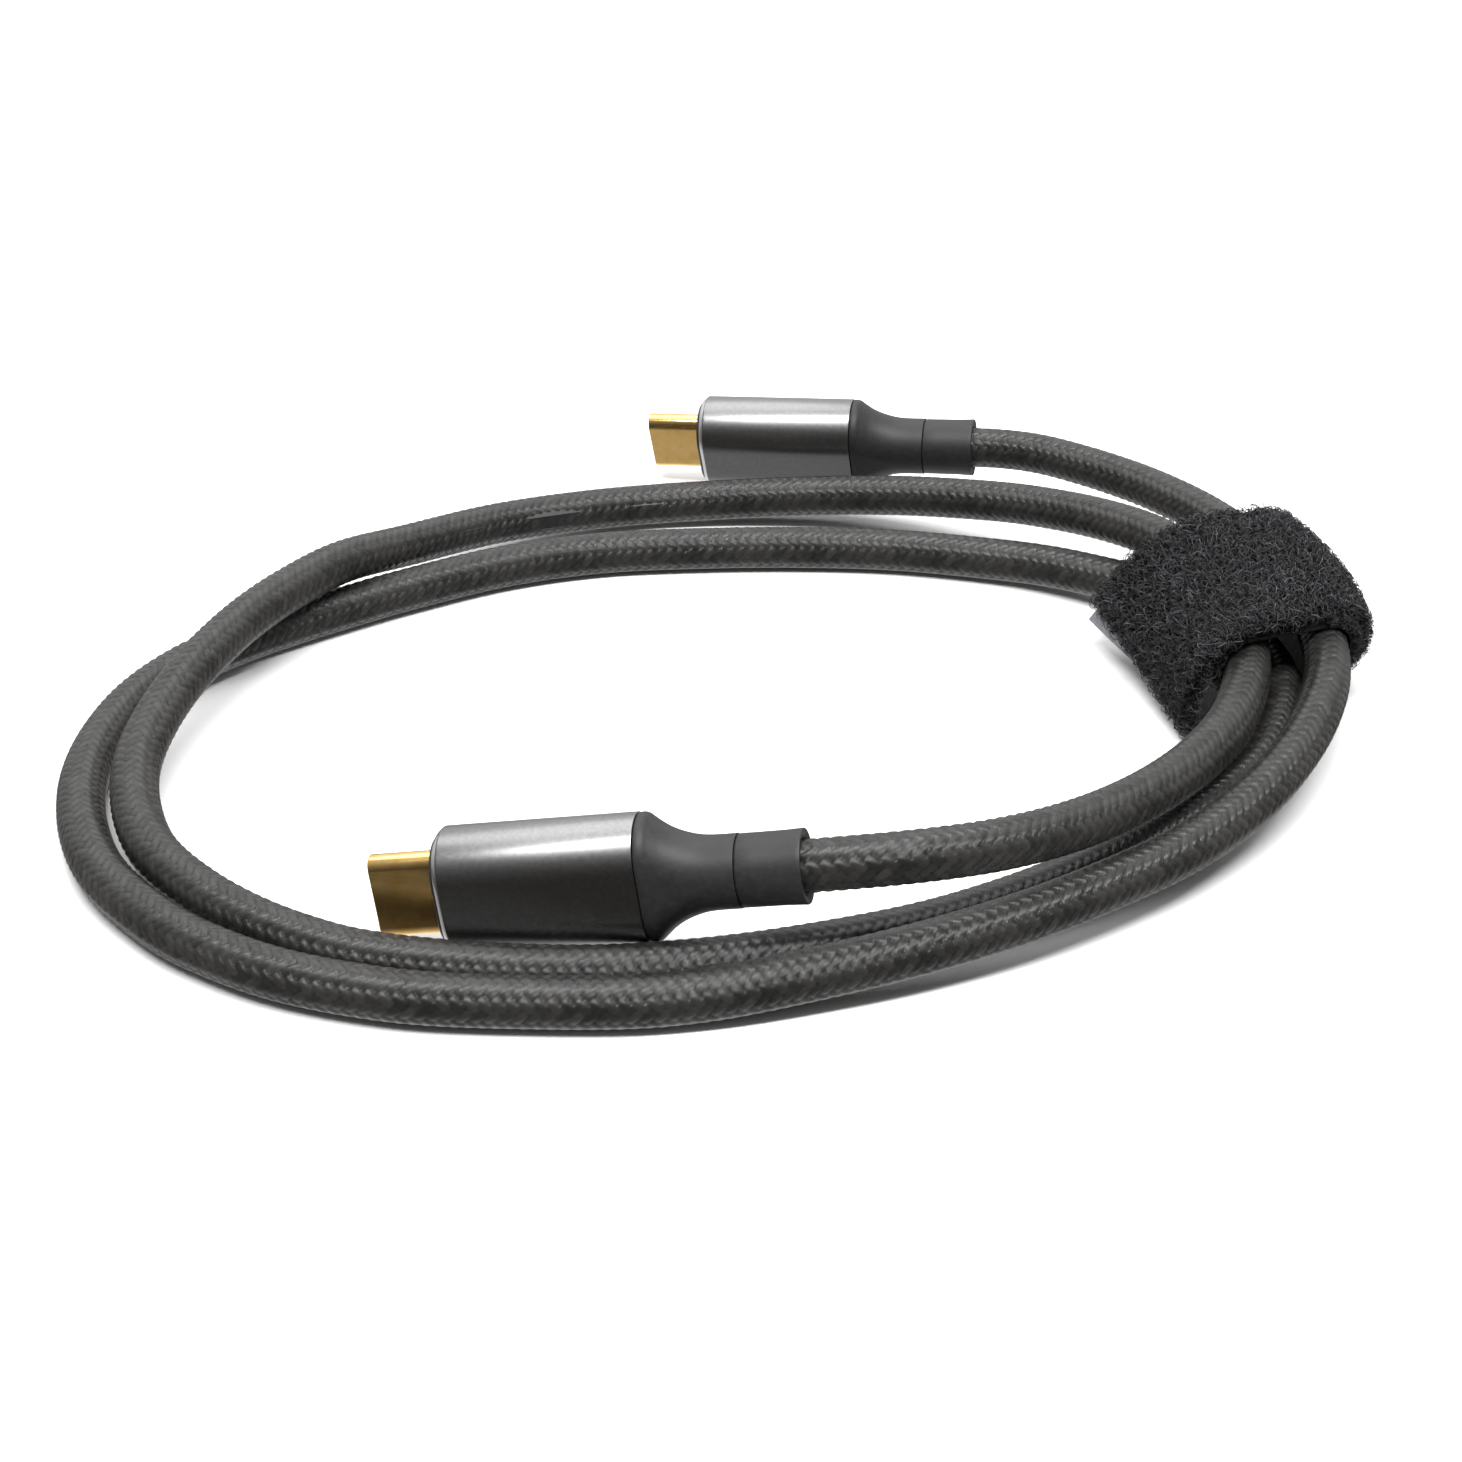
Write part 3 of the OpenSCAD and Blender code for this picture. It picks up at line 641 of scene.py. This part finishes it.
def fibres(name, places, seed, body, reach=0.5, radius=0.034):
    """Curled fibres that stand on the given places, a list of (points, normals)."""
    rng = np.random.RandomState(seed)
    base = np.vstack([p for p, _ in places])
    nrm = unit(np.vstack([n for _, n in places]) + 1e-6)
    count = len(base)
    t1 = unit(np.cross(nrm, rng.normal(size=(count, 3))))
    t2 = np.cross(nrm, t1)
    k = 9
    u = np.linspace(0, 1, k)
    size = reach * (0.5 + 0.9 * rng.rand(count, 1, 1) ** 1.5)
    turn = (1.1 + 1.3 * rng.rand(count, 1)) * math.pi
    ang = u[None, :] * turn
    lean = rng.normal(size=(count, 1, 1)) * 0.5
    x = (1 - np.cos(ang))[..., None] * 0.6 * size
    z = np.sin(ang)[..., None] * size * 0.85 + 0.5 * size * u[None, :, None]
    y = (u[None, :, None] - 0.5) * lean * size * 2
    z = np.maximum(z, -0.15)
    line = base[:, None, :] + x * t1[:, None, :] + y * t2[:, None, :] + (z - 0.05) * nrm[:, None, :]
    line += rng.normal(size=line.shape) * 0.035
    line[..., 2] = np.maximum(line[..., 2], 0.06)
    d = unit(np.gradient(line, axis=1))
    e1 = unit(np.cross(d, nrm[:, None, :] + 1e-3 * t2[:, None, :]))
    e2 = np.cross(d, e1)
    w = radius * (1 - 0.6 * np.abs(2 * u - 1) ** 3)[None, :, None, None]
    ring_a = np.radians([90, 210, 330])
    ring_c = np.cos(ring_a)[None, None, :, None]
    ring_s = np.sin(ring_a)[None, None, :, None]
    ring = line[:, :, None, :] + w * (ring_c * e1[:, :, None, :] + ring_s * e2[:, :, None, :])
    one = grid_faces(k, 3)
    faces = (one[None] + (np.arange(count) * k * 3)[:, None, None]).reshape(-1, 4)
    ob = make(name, ring.reshape(-1, 3), faces, FIBRE, body)
    # random tone per fibre; the fibre material paints the top of this range as highlight
    att = ob.data.attributes.new("tone", "FLOAT", "POINT")
    att.data.foreach_set("value", np.repeat(rng.rand(count), k * 3).astype(np.float32))
    return ob


def grid_normals(top, centre):
    """Unit normals of a grid of points, away from a centre."""
    n = unit(np.cross(np.gradient(top, axis=0), np.gradient(top, axis=1)))
    return n if np.mean(np.sum(n * (top - centre), -1)) > 0 else -n


ALONG = np.array([-S_SIN, S_COS, 0])  # the strap's width direction, from the near edge to the far one
ACROSS = np.array([S_COS, S_SIN, 0])


def strap():
    rng = np.random.RandomState(21)
    mid = np.array([42.0, 5.0, 6.5])

    # inner turn of loop pile
    out = np.stack([loop_ring(b, R_PILE_OUT) for b in STATIONS])
    inn = np.stack([loop_ring(b, R_PILE_IN) for b in STATIONS])
    s, m = out.shape[:2]
    rings = np.vstack([out, inn[::-1]])
    band = make("strap_band", rings.reshape(-1, 3), grid_faces(2 * s, m, True, True), PILE, sharp=40)
    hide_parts("strap_band_pile")
    nrm = grid_normals(out, mid)
    near = np.tile(-ALONG, (m, 1)) + 0.5 * nrm[0]
    far = np.tile(ALONG, (m, 1)) + 0.5 * nrm[-1]
    band_fuzz = fibres("strap_band_fibres", [
        on_grid(out, nrm, 4200, rng),
        on_rim(out[0], inn[0], near, 1500, rng),
        on_rim(out[-1], inn[-1], far, 900, rng),
    ], 11, ROOT, reach=0.5)

    # outer turn and free tail, one strip that bends at the hinge
    top = np.stack([resample(outer_row(b, R_TOP), 120) for b in STATIONS])
    f = np.linspace(0, 1, len(STATIONS))[:, None]
    col = np.linspace(0, 1, top.shape[1])[None, :]
    back = 1.9 * np.clip(1 - col / 0.42, 0, 1) ** 0.7 * (1 - f) ** 3
    top = top + back[..., None] * (ALONG + 0.5 * ACROSS)
    centre = np.array([40.0, 4.0, 4.0])
    nrm = grid_normals(top, centre)
    under = top - PILE_T * nrm
    v, faces = slab_mesh(top, under)
    outer = make("strap_outer", v, faces, PILE, None, sharp=40)
    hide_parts("strap_overlap_pile", "strap_tail_pile")
    m = top.shape[1]
    near = np.tile(-ALONG, (m, 1)) + 0.6 * nrm[0]
    far = np.tile(ALONG, (m, 1)) + 0.6 * nrm[-1]
    cut = unit(top[:, -1] - top[:, -3]) + 0.4 * nrm[:, -1]
    start = unit(top[:, 0] - top[:, 2]) + 0.4 * nrm[:, 0]
    outer_fuzz = fibres("strap_outer_fibres", [
        on_grid(top, nrm, 13000, rng),
        on_rim(top[0], under[0], near, 1500, rng),
        on_rim(top[-1], under[-1], far, 1200, rng),
        on_rim(top[:, -1], under[:, -1], cut, 350, rng),
        on_rim(top[:, 0], under[:, 0], start, 400, rng),
    ], 12, None, reach=0.9, radius=0.046)

    # row of stitches beside the cut end, and the edge of the hook layer beyond it
    stitch = edge_stitches(top, nrm)
    lip = hook_lip(under, nrm)
    for ob in (outer, outer_fuzz):
        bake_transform(ob)


STITCH_IN, STITCH_STEP = 1.2, 1.1  # mm from the cut end, and from one loop to the next


def edge_stitches(top, nrm):
    """Small thread loops in a row, STITCH_IN mm inside the cut end."""
    s, m = top.shape[:2]
    gap = np.linalg.norm(top[:, -1] - top[:, -2], axis=1).mean()
    c = m - 1 - int(round(STITCH_IN / gap))
    line, _ = even(top[:, c], STITCH_STEP)
    rows = np.interp(np.linspace(0, 1, len(line)), np.linspace(0, 1, s), np.arange(s)).astype(int)
    run = unit(top[rows, -1] - top[rows, -3])
    verts, faces = [], []
    for p, q, n in zip(line[1:-1], run[1:-1], nrm[rows, c][1:-1]):
        side = unit(np.cross(n, q))
        ring_u = np.linspace(0, 2 * math.pi, 13)[:-1]
        spine = p + 0.42 * n + 0.42 * np.cos(ring_u)[:, None] * q + 0.28 * np.sin(ring_u)[:, None] * side
        out = unit(spine - spine.mean(0))
        tube = np.radians([0, 72, 144, 216, 288])[None, :, None]
        ring = spine[:, None] + 0.09 * (np.cos(tube) * out[:, None] + np.sin(tube) * n)
        faces.append(grid_faces(12, 5, True, True, len(verts) * 60))
        verts.append(ring.reshape(-1, 3))
    ob = make("strap_edge_stitch", np.vstack(verts), np.vstack(faces), FINISH["thread"], TAIL)
    return ob


def hook_lip(under, nrm):
    """The hook layer's own edge, which stands a little past the cut end of the pile."""
    s = len(under)
    f = np.linspace(0, 1, s)
    run = unit(under[:, -1] - under[:, -4])
    reach = 2.5 * np.clip((f - 0.22) / 0.78, 0, 1) ** 0.75
    steps = np.linspace(-1.2, 1, 9)
    past_edge = np.where(steps > 0, steps * reach[:, None], steps)
    grid = under[:, -1][:, None] + past_edge[..., None] * run[:, None]
    grid = grid - 0.06 * nrm[:, -1][:, None]
    v, faces = slab_mesh(grid, grid - 0.32 * nrm[:, -1][:, None])
    # painted sheen: the same lighter grey-blue as the tail's hook face
    ob = make("strap_hook_edge", v, faces, FINISH["hook_painted_sheen"], TAIL, sharp=40)
    return ob


strap()


# ------------------------------------------------------------------ floor and light
def floor():
    me = bpy.data.meshes.new("floor")
    me.from_pydata([(-3, -3, 0), (3, -3, 0), (3, 3, 0), (-3, 3, 0)], [], [(0, 1, 2, 3)])
    m, nt, b = material("floor_white")
    b.inputs["Base Color"].default_value = (0.9, 0.9, 0.9, 1)
    b.inputs["Roughness"].default_value = 0.8
    b.inputs["Specular IOR Level"].default_value = 0.2
    me.materials.append(m)
    ob = bpy.data.objects.new("floor", me)
    bpy.context.scene.collection.objects.link(ob)
    ob.location = (0, 0, -0.0001)
    ob.visible_glossy = False  # the sides of the plugs stay dark, as in the photo


def area(name, place, aim, size, power):
    """A rectangular lamp that faces a point."""
    d = bpy.data.lights.new(name, "AREA")
    d.shape = "RECTANGLE"
    d.size, d.size_y = size
    d.energy = power
    ob = bpy.data.objects.new(name, d)
    bpy.context.scene.collection.objects.link(ob)
    ob.location = place
    v = np.array(aim, float) - np.array(place, float)
    ob.rotation_euler = (math.atan2(math.hypot(v[0], v[1]), -v[2]), 0, math.atan2(v[1], v[0]) - math.pi / 2)


floor()
area("key", (-0.2, 0.4, 0.9), (0, 0, 0), (0.9, 0.7), 4.5)
area("strip", (0.08, -0.33, 0.94), (0, 0, 0), (1.1, 0.14), 17)

world = bpy.data.worlds.new("world")
bpy.context.scene.world = world
world.use_nodes = True
wt = world.node_tree
back = wt.nodes["Background"]
tc = wt.nodes.new("ShaderNodeTexCoord")
sep = wt.nodes.new("ShaderNodeSeparateXYZ")
wt.links.new(tc.outputs["Generated"], sep.inputs[0])
height = node(wt, "ShaderNodeMapRange")
height.inputs["From Min"].default_value = -1
wt.links.new(sep.outputs["Z"], height.inputs["Value"])
sky = ramp(wt, height.outputs[0], [
    (0.0, (1.1, 1.1, 1.1)), (0.14, (0.55, 0.55, 0.55)), (0.3, (0.22, 0.2, 0.18)),
    (0.5, (0.3, 0.3, 0.3)), (0.75, (0.6, 0.6, 0.6)), (1.0, (1.0, 1.0, 1.0)),
])
depth = node(wt, "ShaderNodeMapRange")
depth.inputs["From Min"].default_value = -1
wt.links.new(sep.outputs["Y"], depth.inputs["Value"])
front_to_back = ramp(wt, depth.outputs[0], [
    (0.0, (0.2, 0.19, 0.18)), (0.5, (0.7, 0.7, 0.7)), (1.0, (2.4, 2.4, 2.4)),
])
wt.links.new(multiply(wt, sky, front_to_back), back.inputs["Color"])
back.inputs["Strength"].default_value = 1.0

bpy.context.scene.view_settings.view_transform = "Standard"
bpy.context.scene.view_settings.look = "None"
bpy.context.scene.view_settings.exposure = 0.0
